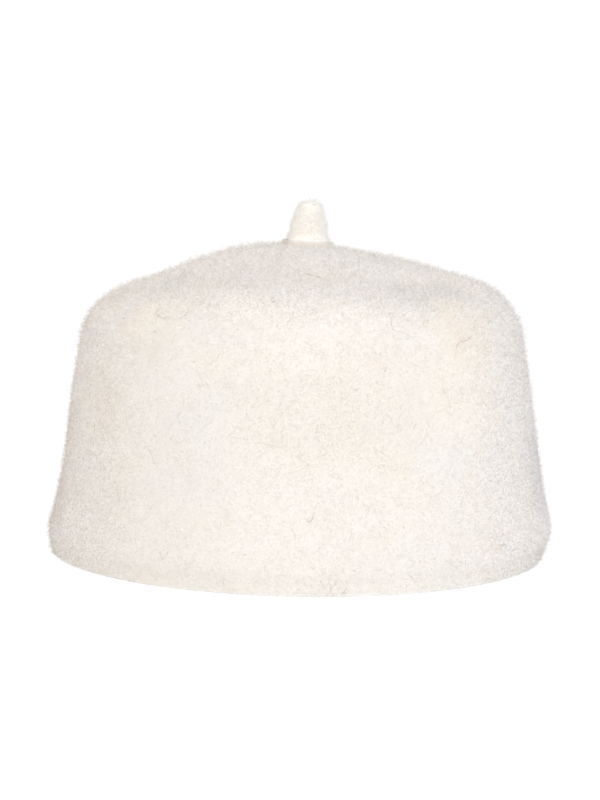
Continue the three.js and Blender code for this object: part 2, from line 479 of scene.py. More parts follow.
wool_tints = shader_group(
    "wool_tints",
    {"Vector": "Vector", "Wool": "Color", "Amount": "Float", "Grain": "Float"},
    {"Color": "Color", "Coarse and shaded": "Float"},
)
given = wool_tints.nodes.new("NodeGroupInput").outputs
spot = add(wool_tints, "ShaderNodeSeparateXYZ", {"Vector": given["Vector"]}).outputs
sideways = add(wool_tints, "ShaderNodeMath", {0: spot["X"]}, operation="ABSOLUTE").outputs[0]
# The mask of the sides and the top, where grain and flecks are stronger, as painted shade.
at_side = between(wool_tints, sideways, SIDE_STARTS, SIDE_ENDS, smooth=True)
at_top = between(wool_tints, spot["Z"], TOP_STARTS, TOP_ENDS, 0.0, TOP_COARSE_AND_SHADED, smooth=True)
coarse_and_shaded = maths(wool_tints, "MAXIMUM", at_side, at_top)
colour = given["Wool"]
for row in (*TINTS, *FLECKS):
    mask = patches(wool_tints, given["Vector"], row.mm * MM, row.start, row.full, row.seed)
    share = maths(wool_tints, "MULTIPLY", mask, given["Amount"])
    if row in FLECKS:
        strength = between(wool_tints, coarse_and_shaded, 0.0, 1.0, row.smooth, row.rough)
        share = maths(wool_tints, "MULTIPLY", share, strength)
    tinted = blended(wool_tints, 1.0, colour, (*row.colour, 1), "MULTIPLY")
    colour = blended(wool_tints, share, colour, tinted)
contrast = between(wool_tints, coarse_and_shaded, 0.0, 1.0, GRAIN_FRONT, GRAIN_SIDES_AND_TOP)
off_middle = maths(wool_tints, "SUBTRACT", given["Grain"], GRAIN_MIDDLE)
lighter = maths(wool_tints, "ADD", maths(wool_tints, "MULTIPLY", off_middle, contrast), 1.0)
channels = [maths(wool_tints, "POWER", lighter, power) for power in GRAIN_WARMTH]
grained = add(wool_tints, "ShaderNodeCombineXYZ", dict(zip("XYZ", channels))).outputs["Vector"]
shown = vectors(wool_tints, "MULTIPLY", colour, grained)
add(wool_tints, "NodeGroupOutput", {"Color": shown, "Coarse and shaded": coarse_and_shaded})
print("tints:", [row.name for row in (*TINTS, *FLECKS)])

# %% [markdown]
# The mat itself is four layers of thin ridges, each stretched another way, over a cloudy noise. A
# ridge lies where a stretched noise is at its middle value, which gives lines that wander and
# cross as fibres do. A photo texture could do it too, but it would tile and couldn't be resized.

# %% Shader group: the mat of fibres
STRANDS = [
    {"seed": 1.0, "stretch": (1.0, 1.0, 0.3)},
    {"seed": 2.0, "stretch": (0.3, 1.0, 1.0)},
    {"seed": 5.0, "stretch": (1.0, 0.3, 1.0)},
    {"seed": 9.0, "stretch": (0.6, 0.6, 0.6)},
]
STRAND_WIDTH = 0.085  # how far the noise may be from its middle value on a strand
STRAND_SHARE = 0.5
CLOUD_SHARE = 0.7

felt_mat = shader_group(
    "felt_mat",
    {"Vector": "Vector", "Fibre size": "Float"},
    {"Height": "Float", "Grain": "Float"},
)
given = felt_mat.nodes.new("NodeGroupInput").outputs
finer = maths(felt_mat, "DIVIDE", 1.0, given["Fibre size"])
highest = 0.0
for row in STRANDS:
    stretched = vectors(felt_mat, "MULTIPLY", given["Vector"], row["stretch"])
    noise = add(
        felt_mat,
        "ShaderNodeTexNoise",
        {
            "Vector": stretched,
            "W": row["seed"],
            "Scale": finer,
            "Detail": 1.0,
            "Roughness": 0.5,
            "Distortion": 0.6,
        },
        noise_dimensions="4D",
    ).outputs[0]
    off = maths(felt_mat, "SUBTRACT", noise, 0.5)
    apart = maths(felt_mat, "MAXIMUM", off, maths(felt_mat, "MULTIPLY", off, -1.0))
    ridge = between(felt_mat, apart, 0.0, STRAND_WIDTH, 1.0, 0.0)
    highest = maths(felt_mat, "MAXIMUM", highest, ridge)
cloud = add(
    felt_mat,
    "ShaderNodeTexNoise",
    {"Vector": given["Vector"], "Scale": finer, "Detail": 3.0, "Roughness": 0.75},
).outputs[0]
strand_part = maths(felt_mat, "MULTIPLY", highest, STRAND_SHARE)
cloud_part = maths(felt_mat, "MULTIPLY", cloud, CLOUD_SHARE)
grain = maths(felt_mat, "ADD", strand_part, cloud_part)
add(felt_mat, "NodeGroupOutput", {"Height": grain, "Grain": grain})
print("strand layers:", len(STRANDS))

# %% [markdown]
# Some marks of this one cap are too plain to leave to chance: where the wool is more yellow, pinker
# or greyer, where it is painted lighter or darker as painted light and painted shade, where single
# hairs curl over the wall, and where dark bits were felted in, two of them as painted shade. Each is
# placed by where it shows in the picture. A ray from the camera through that pixel finds its place
# on the felt, so that it stays there when it is seen from anywhere else.


# %% From a pixel to the felt
def surface_of(piece):
    """A piece's surface, to shoot rays at."""
    mesh = piece.data
    return BVHTree.FromPolygons([v.co for v in mesh.vertices], [p.vertices for p in mesh.polygons])


def view_way(across, down):
    """The direction from the camera through a pixel of the picture."""
    pixels_per_length = LENS / SENSOR * PICTURE_HEIGHT
    ray = Vector((across - PICTURE_WIDTH / 2, PICTURE_HEIGHT / 2 - down, -pixels_per_length))
    return camera.matrix_world.to_quaternion() @ ray


def on_felt(surface, across, down):
    """The place and the normal on a surface that show at a pixel of the picture."""
    start = camera.matrix_world.translation
    place, normal, _, _ = surface.ray_cast(start, view_way(across, down))
    return place, normal


crown_solid = surface_of(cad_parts["crown"])
middle, _ = on_felt(crown_solid, PICTURE_WIDTH / 2, PICTURE_HEIGHT / 2)
print("the picture's middle shows the felt at mm:", [round(v / MM, 1) for v in middle])

# %% [markdown]
# The soft patches of tint come first. Each multiplies the wool's colour by its own, fully in its
# core and less and less towards its edge, and a noise pulls the edges about, so that none is round.
# Not all are the wool's own tint: some are painted shade, in the valley behind the shoulder, in the
# middle of the front and along the two edges, and some painted light, just under the shoulder in
# front. The rim's lowest millimetre is also painted paler, as painted light. A painted texture could
# do it too, but a patch that is a row of numbers is easily moved.

# %% Patches of this cap
# Each patch has the pixel of its middle, its reach and its tint.
Patch = namedtuple("Patch", "name across down mm colour")
PATCHES = [
    Patch("straw on the right", 466, 388, 26, (1.025, 1.01, 0.985)),
    Patch("straw under the curl", 150, 336, 17, (1.0, 0.992, 0.978)),
    Patch("straw on the left", 98, 400, 24, (0.985, 0.968, 0.945)),
    Patch("straw in front", 378, 405, 32, (0.98, 0.967, 0.952)),
    # Painted shade in the middle of the front, and painted light high in front under the shoulder.
    Patch("ash in the middle", 295, 405, 30, (0.978, 0.97, 0.962)),
    Patch("pale high in front", 300, 326, 22, (1.015, 1.015, 1.015)),
    Patch("ash left of the middle", 196, 408, 19, (0.985, 0.989, 0.993)),
    Patch("ash lower down", 190, 468, 20, (0.985, 0.989, 0.993)),
    Patch("rose low in front", 360, 520, 26, (1.0, 0.994, 0.991)),
    Patch("rose on the mound", 262, 262, 18, (1.0, 0.978, 0.978)),
    # The next five are painted shade in the valley behind the shoulder, where the top turns up, away
    # from the front lamp's light.
    Patch("ash in the valley", 178, 278, 15, (0.962, 0.969, 0.972)),
    Patch("ash by the shoulder", 121, 291, 11, (0.94, 0.947, 0.955)),
    Patch("ash in mid valley", 236, 277, 14, (0.965, 0.972, 0.978)),
    Patch("ash on the right", 418, 292, 15, (0.94, 0.943, 0.95)),
    Patch("ash at the right end", 452, 287, 13, (0.93, 0.935, 0.945)),
    Patch("straw on the shoulder", 470, 322, 22, (1.005, 0.985, 0.955)),
    Patch("straw on the left shoulder", 138, 314, 15, (1.015, 1.0, 0.98)),
    # The next four are painted light, where the wall is fully lit just under the shoulder.
    Patch("pale under the left shoulder", 165, 302, 13, (1.03, 1.03, 1.02)),
    Patch("pale left of the middle", 240, 304, 14, (1.03, 1.03, 1.02)),
    Patch("pale right of the middle", 340, 308, 14, (1.02, 1.02, 1.01)),
    Patch("pale under the right shoulder", 440, 305, 12, (1.03, 1.03, 1.01)),
    # The last three are painted shade along the left and right edges, where the wall turns from the
    # light.
    Patch("rose low on the left", 54, 508, 19, (0.935, 0.915, 0.905)),
    Patch("rose on the left edge", 68, 430, 21, (0.975, 0.96, 0.955)),
    Patch("ash on the right edge", 540, 470, 24, (0.925, 0.925, 0.94)),
]
PATCH_CORE = 0.3  # share of its reach where a patch is full
EDGE_WANDERS = 14 * MM  # how far the noise pulls a patch's edge about
WANDER_SIZE = 12 * MM  # of that noise
MIDDLE_OF_NOISE = (0.5, 0.5, 0.5)
CUT_EDGE_LIGHT = (1.05, 1.065, 1.09, 1)  # painted light: the rim's lowest millimetre is paler, against the shade where it meets the floor
CUT_PALE, CUT_FADES = 0.35 * MM, 1.1 * MM

patch_tints = shader_group(
    "patch_tints", {"Vector": "Vector", "Color": "Color"}, {"Color": "Color"}
)
given = patch_tints.nodes.new("NodeGroupInput").outputs
wander = add(
    patch_tints,
    "ShaderNodeTexNoise",
    {"Vector": given["Vector"], "Scale": 1 / WANDER_SIZE, "Detail": 2.0},
).outputs["Color"]
centred = vectors(patch_tints, "SUBTRACT", wander, MIDDLE_OF_NOISE)
pulled = scaled(patch_tints, centred, EDGE_WANDERS)
where = vectors(patch_tints, "ADD", given["Vector"], pulled)
colour = given["Color"]
for row in PATCHES:
    middle, _ = on_felt(crown_solid, row.across, row.down)
    reach = row.mm * MM
    away = vectors(patch_tints, "DISTANCE", where, middle)
    share = between(patch_tints, away, PATCH_CORE * reach, reach, 1.0, 0.0, smooth=True)
    tinted = blended(patch_tints, 1.0, colour, (*row.colour, 1), "MULTIPLY")
    colour = blended(patch_tints, share, colour, tinted)
up = add(patch_tints, "ShaderNodeSeparateXYZ", {"Vector": given["Vector"]}).outputs["Z"]
# The rim's lowest millimetre is painted paler, as painted light against the shade at the floor.
at_cut = between(patch_tints, up, CUT_PALE, CUT_FADES, 1.0, 0.0, smooth=True)
cut_lit_colour = blended(patch_tints, 1.0, colour, CUT_EDGE_LIGHT, "MULTIPLY")
colour = blended(patch_tints, at_cut, colour, cut_lit_colour)
add(patch_tints, "NodeGroupOutput", {"Color": colour})
print("patches:", len(PATCHES))

# %% [markdown]
# One function makes every felt: the crown's and the stub's, the fuzz's and the hairs'. They differ
# in the wool's colour and in how much of the tints, the bumps and the sheen they get. Sheen stands
# for fibres too fine to be modelled, so the stub, whose edge glows most, gets the most of it.

# %% Felt material
FIBRE_SIZE = 0.62 * MM
BUMP_DEPTH = 0.30 * MM
MATTE = {"Roughness": 0.95, "Specular IOR Level": 0.12, "Sheen Roughness": 0.6}
FRONT_SHARE = 0.42  # of the fibres' darkness at the front and back; the sides and top get all of it, as painted shade


def felt_material(name, wool, tints, bump=0.0, sheen=0.05, glow=None, marks=(), shades=None):
    """Matte wool felt of one colour, with shares of the tints and of the mat's bumps. Glow works
    wool of another colour in round a place, given as its middle, its reach and its colour. Each
    mark is an attribute and the colour where it is 1. Shades are the darkest and lightest fibre."""
    material = bpy.data.materials.new(name)
    material.use_nodes = True
    tree = material.node_tree
    tree.nodes.clear()
    where = add(tree, "ShaderNodeTexCoord").outputs["Object"]
    inputs = {"Vector": where, "Fibre size": FIBRE_SIZE}
    mat = add(tree, "ShaderNodeGroup", inputs, node_tree=felt_mat).outputs
    if glow:
        middle, near, far, other = glow
        away = vectors(tree, "DISTANCE", where, middle)
        share = between(tree, away, near, far, 1.0, 0.0, smooth=True)
        wool = blended(tree, share, wool, other)
    inputs = {"Vector": where, "Grain": mat["Grain"], "Amount": tints, "Wool": wool}
    tinted = add(tree, "ShaderNodeGroup", inputs, node_tree=wool_tints).outputs
    inputs = {"Vector": where, "Color": tinted["Color"]}
    colour = add(tree, "ShaderNodeGroup", inputs, node_tree=patch_tints).outputs["Color"]
    for attribute, other in marks:
        share = add(tree, "ShaderNodeAttribute", attribute_name=attribute).outputs["Fac"]
        colour = blended(tree, share, colour, other)
    if shades:
        dark, light = shades
        # The fibres are darker at the sides and on top than at the front and back: painted shade.
        front_dark = 1 - FRONT_SHARE * (1 - dark)
        dark = between(tree, tinted["Coarse and shaded"], 0.0, 1.0, front_dark, dark)
        shade = add(tree, "ShaderNodeAttribute", attribute_name="shade").outputs["Fac"]
        step = maths(tree, "MULTIPLY", shade, maths(tree, "SUBTRACT", light, dark))
        colour = scaled(tree, colour, maths(tree, "ADD", dark, step))
    inputs = {"Base Color": colour, "Sheen Weight": sheen, **MATTE}
    if bump:
        bumpy = {"Height": mat["Height"], "Strength": bump, "Distance": BUMP_DEPTH}
        inputs["Normal"] = add(tree, "ShaderNodeBump", bumpy).outputs["Normal"]
    felt = add(tree, "ShaderNodeBsdfPrincipled", inputs)
    add(tree, "ShaderNodeOutputMaterial", {"Surface": felt.outputs["BSDF"]})
    return material


WHITE_WOOL = (0.912, 0.879, 0.818, 1)
CREAM_WOOL = (0.955, 0.915, 0.828, 1)
# painted highlight on the stub's foot, where light catches its edge
FOOT_HIGHLIGHT = (0.99, 0.975, 0.94, 1)
# painted shade just over the join of the stub's foot and the crown
FOOT_SHADE = (0.885, 0.84, 0.77, 1)
stub_low, stub_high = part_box("nub")
STUB_FOOT = (
    (stub_low[0] + stub_high[0]) / 2,
    (stub_low[1] + stub_high[1]) / 2,
    stub_low[2],
)
CREAM_NEAR, CREAM_FAR = 8.5 * MM, 14 * MM  # from the stub's foot, where the crown is creamier too
cream_glow = (STUB_FOOT, CREAM_NEAR, CREAM_FAR, CREAM_WOOL)
white_felt = felt_material("white_felt", WHITE_WOOL, tints=0.62, bump=0.55, glow=cream_glow)
# painted shade at the foot's join, and a painted highlight band over it
foot_marks = (("foot", FOOT_SHADE), ("painted_highlight", FOOT_HIGHLIGHT))
cream_felt = felt_material(
    "cream_felt", CREAM_WOOL, tints=0.35, bump=0.3, sheen=0.9, marks=foot_marks
)
print("materials:", white_felt.name, cream_felt.name)

# %% [markdown]
# Now the crown is made from its solid, divided and made uneven. What the tree gives back is a
# plain mesh, without modifiers, which is what rides on the frame.

# %% Crown
CROWN_RELIEF = {
    "Nap": 0.85 * MM,
    "More on top": 0.6 * MM,
    "Lump size": 38 * MM,
    "Lump height": 0.9 * MM,
    "Pimple size": 6.5 * MM,
    "Pimple height": 0.26 * MM,
    "Seed": 4.0,
}


def finished(piece, mesh, material, node=None):
    """Gives a piece its final mesh and material, and ties it to the frame."""
    piece.modifiers.clear()
    piece.data = mesh
    mesh.name = piece.name
    mesh.materials.clear()
    mesh.materials.append(material)
    mesh.shade_smooth()
    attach(piece, "root")
    if node:
        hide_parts(node)
    mesh.calc_loop_triangles()
    print(piece.name, "triangles:", len(mesh.loop_triangles))
    return piece


crown_felt = smooth_copy("crown", "crown_felt", 2)
finished(crown_felt, run_tree(crown_felt, relief, CROWN_RELIEF), white_felt, "crown")
crown_surface = surface_of(crown_felt)

# %% [markdown]
# The stub is rolled from the same wool, a little creamier, and denser, so its surface is finer.
# Its foot is felted down onto the crown in front and behind. Just over the join the wool is
# painted darker, as painted shade, and over that a band is painted paler, as a painted highlight
# where light catches the foot's edge, so it shows as a bright line. At its two sides the crown falls
# away, and a small dark gap stays under the foot's flare.

# %% Stub
STUB_RELIEF = {
    "Nap": 1.0 * MM,
    "More on top": 0.0,
    "Lump size": 7 * MM,
    "Lump height": 0.18 * MM,
    "Pimple size": 1.8 * MM,
    "Pimple height": 0.08 * MM,
    "Seed": 8.0,
}
FOOT_HEIGHT = 3.6 * MM  # how far up the foot is drawn down
FOOT_LIES = 1.4 * MM  # the foot's underside over the crown, before it is drawn down
FOOT_SINK = 0.5 * MM
FOOT_STAYS = 0.4  # share of that gap which stays open at the two sides
FOOT_ENDS = (8 * MM, 10 * MM)  # from the middle, where the foot starts to lift
FOOT_FADES = (0.5 * MM, 1.5 * MM)  # over the crown, where the painted shade at the foot's join ends
PALE_BAND = (1.3 * MM, 1.6 * MM, 2.1 * MM, 2.4 * MM)  # of the painted highlight, over the crown: starts, full, full, ends
PALE_ENDS = (4.8 * MM, 7 * MM)  # from the middle
TIP_FROM = 3 * MM  # under the top, where the tip starts to be blunted
TIP_WIDER = 0.18
TIP_HIGHER = 0.45 * MM


def ramp(value, low, high):
    """How far a value is from low to high, kept between 0 and 1."""
    return min(1.0, max(0.0, (value - low) / (high - low)))


def felt_down(mesh, surface, middle):
    """Draws the foot of the stub down into the crown, less so at its two sides, and marks the painted
    shade at the foot's join and the painted highlight band over it."""
    down = Vector((0, 0, -1))
    foot = mesh.attributes.new("foot", "FLOAT", "POINT")
    edge = mesh.attributes.new("painted_highlight", "FLOAT", "POINT")
    starts, full, still_full, ends = PALE_BAND
    for point in mesh.vertices:
        below, _, _, gap = surface.ray_cast(point.co, down)
        if below is None or gap > FOOT_HEIGHT:
            continue
        beside = abs(point.co.x - middle)
        lowest = FOOT_LIES * FOOT_STAYS * ramp(beside, *FOOT_ENDS) - FOOT_SINK
        share = max(0.0, (gap - FOOT_LIES) / (FOOT_HEIGHT - FOOT_LIES))
        over = lowest + (FOOT_HEIGHT - lowest) * share
        point.co.z += over - max(gap, FOOT_LIES)
        band = ramp(over, starts, full) * (1 - ramp(over, still_full, ends))
        # The pale band is a painted highlight, where light catches the foot's edge.
        edge.data[point.index].value = band * (1 - ramp(beside, *PALE_ENDS))
        # The foot mark is painted shade at the join.
        foot.data[point.index].value = 1 - ramp(over, *FOOT_FADES)


def blunt(mesh, middle):
    """Makes the tip a little broader and higher."""
    top = max(point.co.z for point in mesh.vertices)
    for point in mesh.vertices:
        share = ramp(point.co.z, top - TIP_FROM, top)
        point.co.x += (point.co.x - middle[0]) * TIP_WIDER * share
        point.co.y += (point.co.y - middle[1]) * TIP_WIDER * share
        point.co.z += TIP_HIGHER * share


stub_felt = smooth_copy("nub", "stub_felt", 2)
stub_mesh = run_tree(stub_felt, relief, STUB_RELIEF)
felt_down(stub_mesh, crown_surface, STUB_FOOT[0])
blunt(stub_mesh, STUB_FOOT)
finished(stub_felt, stub_mesh, cream_felt, "nub")

# %% [markdown]
# Fuzz is what makes felt look like felt. Tens of thousands of loose fibre ends stand off the
# surface by about a millimetre, in all directions, and blur the outline. A geometry node tree
# strews points on the felt and puts a short line on each, which leans by chance. Most fibres are
# short and few are long, so that the blur thins out towards its edge. The tree then bends the
# lines by a noise field and gives them a thin three-sided skin that tapers to the tip. Each fibre
# keeps a shade of its own, for the material to read. Where the cap stands on something, the
# fibres lie flat on it.

# %% The tree that grows fuzz: where each fibre goes
fuzz = new_tree(
    "felt_fuzz",
    {
        "Fibres per area": "Float",
        "Length": "Float",
        "Thickness": "Float",
        "Stand": "Float",
        "Lean": "Float",
        "Curl": "Float",
        "Curl size": "Float",
        "Cling": "Float",
        "Steps": "Int",
        "Seed": "Int",
        "Material": "Material",
    },
)
ROOT_DEPTH = 0.08  # share of a fibre that is under the surface
SHORTEST = 0.25  # share of the full length
MOSTLY_SHORT = 2.0  # the higher, the fewer fibres are long
TIP = 0.4  # thickness at the tip, as a share

given = fuzz.nodes.new("NodeGroupInput").outputs
wanted = add(fuzz, "GeometryNodeInputNamedAttribute", {"Name": "fuzzy"}, data_type="FLOAT")
density = maths(fuzz, "MULTIPLY", wanted.outputs["Attribute"], given["Fibres per area"])
roots = add(
    fuzz,
    "GeometryNodeDistributePointsOnFaces",
    {"Mesh": given["Geometry"], "Seed": given["Seed"], "Density": density},
    distribute_method="RANDOM",
)
ends = {"Start": (0, 0, -ROOT_DEPTH), "End": (0, 0, 1)}
line = add(fuzz, "GeometryNodeCurvePrimitiveLine", ends)
points = maths(fuzz, "ADD", given["Steps"], 1.0)
steps = add(fuzz, "GeometryNodeResampleCurve", {"Curve": line.outputs["Curve"], "Count": points})
along = add(fuzz, "GeometryNodeSplineParameter").outputs["Factor"]
marked = add(
    fuzz,
    "GeometryNodeStoreNamedAttribute",
    {"Geometry": steps.outputs["Curve"], "Name": "along", "Value": along},
    data_type="FLOAT",
    domain="POINT",
)


def chance(group, seed, shift, low, high, kind="FLOAT"):
    """A random value for each fibre. Another shift of the seed gives another draw."""
    seeds = maths(group, "ADD", seed, shift)
    node = add(group, "FunctionNodeRandomValue", {"Seed": seeds}, data_type=kind)
    slots = {"FLOAT": (2, 3, 1), "FLOAT_VECTOR": (0, 1, 0)}[kind]
    node.inputs[slots[0]].default_value = low
    node.inputs[slots[1]].default_value = high
    return node.outputs[slots[2]]


stray = chance(fuzz, given["Seed"], 0, (-1, -1, -1), (1, 1, 1), "FLOAT_VECTOR")
out = roots.outputs["Normal"]
through = scaled(fuzz, out, vectors(fuzz, "DOT_PRODUCT", stray, out))
across = vectors(fuzz, "SUBTRACT", stray, through)
leaning = scaled(fuzz, across, given["Lean"])
upright = scaled(fuzz, out, given["Stand"])
way = vectors(fuzz, "ADD", leaning, upright)
turn = add(fuzz, "FunctionNodeAlignRotationToVector", {"Vector": way}, axis="Z")
draw = maths(fuzz, "POWER", chance(fuzz, given["Seed"], 1, 0.0, 1.0), MOSTLY_SHORT)
share = between(fuzz, draw, 0.0, 1.0, SHORTEST, 1.0)
put = add(
    fuzz,
    "GeometryNodeInstanceOnPoints",
    {
        "Points": roots.outputs["Points"],
        "Instance": marked.outputs["Geometry"],
        "Rotation": turn.outputs["Rotation"],
        "Scale": maths(fuzz, "MULTIPLY", share, given["Length"]),
    },
)
own_shade = chance(fuzz, given["Seed"], 2, 0.0, 1.0)
shaded = add(
    fuzz,
    "GeometryNodeStoreNamedAttribute",
    {"Geometry": put.outputs["Instances"], "Name": "shade", "Value": own_shade},
    data_type="FLOAT",
    domain="INSTANCE",
)
real = add(fuzz, "GeometryNodeRealizeInstances", {"Geometry": shaded.outputs["Geometry"]})

# %% [markdown]
# The second half of the tree bends the fibres and gives them their skin. Curve to Mesh is used
# rather than hair curves, so that the fuzz is a plain mesh that every program can read.

# %% The tree that grows fuzz: bend the fibres and give them a skin
LOWEST = 0.04 * MM  # over the surface that the cap stands on
CLING_HEIGHT = 0.10 * MM  # over the felt, where a hair clings to it

place = add(fuzz, "GeometryNodeInputPosition").outputs["Position"]
finer = maths(fuzz, "DIVIDE", 1.0, given["Curl size"])
swirl = add(
    fuzz,
    "ShaderNodeTexNoise",
    {"Vector": place, "Scale": finer, "Detail": 0.0},
    noise_dimensions="3D",
).outputs["Color"]
centred = vectors(fuzz, "SUBTRACT", swirl, MIDDLE_OF_NOISE)
share = add(fuzz, "GeometryNodeInputNamedAttribute", {"Name": "along"}, data_type="FLOAT")
bend = maths(fuzz, "MULTIPLY", share.outputs["Attribute"], given["Curl"])
offset = scaled(fuzz, centred, bend)
bent = add(
    fuzz, "GeometryNodeSetPosition", {"Geometry": real.outputs["Geometry"], "Offset": offset}
)

nearest = add(
    fuzz, "GeometryNodeProximity", {"Geometry": given["Geometry"]}, target_element="FACES"
)
felt_normal = add(
    fuzz,
    "GeometryNodeSampleNearestSurface",
    {"Mesh": given["Geometry"], "Value": add(fuzz, "GeometryNodeInputNormal").outputs["Normal"]},
    data_type="FLOAT_VECTOR",
)
lift = scaled(fuzz, felt_normal.outputs["Value"], CLING_HEIGHT)
on_the_felt = vectors(fuzz, "ADD", nearest.outputs["Position"], lift)
clinging = add(
    fuzz,
    "ShaderNodeMix",
    {"Factor": given["Cling"], 4: place, 5: on_the_felt},
    data_type="VECTOR",
)
spot = add(fuzz, "ShaderNodeSeparateXYZ", {"Vector": clinging.outputs[1]}).outputs
lifted = add(
    fuzz,
    "ShaderNodeCombineXYZ",
    {"X": spot["X"], "Y": spot["Y"], "Z": maths(fuzz, "MAXIMUM", spot["Z"], LOWEST)},
)
laid = add(
    fuzz,
    "GeometryNodeSetPosition",
    {"Geometry": bent.outputs["Geometry"], "Position": lifted.outputs["Vector"]},
)
taper = between(fuzz, share.outputs["Attribute"], 0.0, 1.0, 1.0, TIP)
thick = add(
    fuzz, "GeometryNodeSetCurveRadius", {"Curve": laid.outputs["Geometry"], "Radius": taper}
)
half = maths(fuzz, "MULTIPLY", given["Thickness"], 0.5)
ring = add(fuzz, "GeometryNodeCurvePrimitiveCircle", {"Radius": half, "Resolution": 3})
skin = add(
    fuzz,
    "GeometryNodeCurveToMesh",
    {"Curve": thick.outputs["Curve"], "Profile Curve": ring.outputs["Curve"], "Fill Caps": True},
)
dressed = add(
    fuzz,
    "GeometryNodeSetMaterial",
    {"Geometry": skin.outputs["Mesh"], "Material": given["Material"]},
)
add(fuzz, "NodeGroupOutput", {"Geometry": dressed.outputs["Geometry"]})
print("fuzz tree:", len(fuzz.nodes), "nodes")

# %% [markdown]
# The wall has shorter fuzz than the top, and the inside has little. Wall and top are grown in four
# quarters, so that no piece gets too heavy. In front of the stub's foot none grows, because there
# the foot is felted down.

# %% Where fuzz grows
SHOULDER_HEIGHT = 77.5 * MM
HOLLOW_MIDDLE = Vector((0, 0, 30 * MM))
QUARTERS = ("front", "right", "back", "left")
BARE_HEIGHT = 3 * MM  # over the stub's foot
BARE_BESIDE = 6.5 * MM  # to each side of its middle
BARE_BEFORE = 9 * MM  # in front of its middle


def outward(face):
    """Whether a face is on the outside of the felt."""
    return (face.center - HOLLOW_MIDDLE).dot(face.normal) > 0


def before_stub(face):
    """Whether a face is at the stub's foot in front, where it is felted down and has no fuzz."""
    beside = abs(face.center.x - STUB_FOOT[0])
    low = face.center.z < STUB_FOOT[2] + BARE_HEIGHT
    return low and beside < BARE_BESIDE and -BARE_BEFORE < face.center.y - STUB_FOOT[1] < 0


def on_wall(face):
    """Whether a face is outside and under the shoulder."""
    return outward(face) and face.center.z < SHOULDER_HEIGHT


def above_wall(face):
    """Whether a face is outside, over the wall, and grows fuzz."""
    return outward(face) and face.center.z >= SHOULDER_HEIGHT and not before_stub(face)


def quarter_of(face):
    """Which quarter of the cap a face is in: 0 in front, then on to the right."""
    turn = math.degrees(math.atan2(face.center.x, -face.center.y))
    return round(turn / 90) % 4


def mark_fuzzy(piece, test):
    """Writes 1 on the faces that grow fuzz and 0 on the others."""
    mesh = piece.data
    attribute = mesh.attributes.get("fuzzy") or mesh.attributes.new("fuzzy", "FLOAT", "FACE")
    attribute.data.foreach_set("value", [float(test(face)) for face in mesh.polygons])


def grow(name, ground, test, per_mm2, seed, material, slot, values):
    """Grows fuzz on the chosen faces of a piece, as a piece of its own."""
    mark_fuzzy(ground, test)
    inputs = {"Fibres per area": per_mm2 / MM**2, "Seed": seed, "Material": material, **values}
    mesh = run_tree(ground, fuzz, inputs)
    piece = bpy.data.objects.new(name, mesh)
    scene.collection.objects.link(piece)
    return finished(piece, mesh, material)


# %% [markdown]
# Ten pieces of fuzz are grown, each with a seed of its own, so that no two are alike. The fibres
# are of the same wool as the felt, but paler, because light shines through them, and each is a bit
# darker or lighter than the next. The stub's are finer and stand much closer.

# %% Grow the fuzz
WALL_FUZZ = {
    "Length": 2.4 * MM,
    "Thickness": 0.075 * MM,
    "Stand": 1.0,
    "Lean": 1.5,
    "Curl": 0.5 * MM,
    "Curl size": 1.1 * MM,
    "Cling": 0.0,
    "Steps": 1,
}
TOP_FUZZ = {**WALL_FUZZ, "Length": 3.4 * MM}
STUB_FUZZ = {**WALL_FUZZ, "Length": 2.6 * MM, "Thickness": 0.055 * MM}
SHADES = (0.65, 1.14)
STUB_SHADES = (0.97, 1.03)
WHITE_FUZZ = (0.99, 0.96, 0.912, 1)
CREAM_FUZZ = (1.0, 0.99, 0.955, 1)
OUTSIDE_PER_MM2, INSIDE_PER_MM2, STUB_PER_MM2 = 1.2, 0.04, 4.5
WALL_SEED, TOP_SEED, INSIDE_SEED, STUB_SEED = 21, 31, 41, 42

fuzz_white = felt_material("fuzz_white", WHITE_FUZZ, tints=0.5, glow=cream_glow, shades=SHADES)
fuzz_cream = felt_material("fuzz_cream", CREAM_FUZZ, tints=0.3, sheen=0.9, shades=STUB_SHADES)
white_finish = (fuzz_white, "white_felt")
cream_finish = (fuzz_cream, "cream_felt")

for number, label in enumerate(QUARTERS):
    grow(
        "fuzz_wall_" + label,
        crown_felt,
        lambda f: on_wall(f) and quarter_of(f) == number,
        OUTSIDE_PER_MM2,
        WALL_SEED + number,
        *white_finish,
        WALL_FUZZ,
    )
    grow(
        "fuzz_top_" + label,
        crown_felt,
        lambda f: above_wall(f) and quarter_of(f) == number,
        OUTSIDE_PER_MM2,
        TOP_SEED + number,
        *white_finish,
        TOP_FUZZ,
    )
grow(
    "fuzz_inside",
    crown_felt,
    lambda f: not outward(f),
    INSIDE_PER_MM2,
    INSIDE_SEED,
    *white_finish,
    WALL_FUZZ,
)
grow(
    "fuzz_stub",
    stub_felt,
    lambda f: not before_stub(f),
    STUB_PER_MM2,
    STUB_SEED,
    *cream_finish,
    STUB_FUZZ,
)

# %% [markdown]
# Between the short fuzz lie longer hairs, which were never quite felted in. They run along the
# surface in curves, a touch darker than the wool. The same tree makes them, lying nearly flat and
# clinging to the felt, with more curl.

# %% Hairs that lie on the surface
LYING_HAIR = {
    "Length": 7 * MM,
    "Thickness": 0.085 * MM,
    "Stand": 0.02,
    "Lean": 1.0,
    "Curl": 4.5 * MM,
    "Curl size": 4.5 * MM,
    "Cling": 0.94,
    "Steps": 6,
}
HAIRS_FROM = 4 * MM  # over the rim
HAIRS_PER_MM2 = 0.016
HAIRS_SEED = 51
BEIGE = (0.80, 0.76, 0.70, 1)
BEIGE_SHADES = (0.9, 1.15)

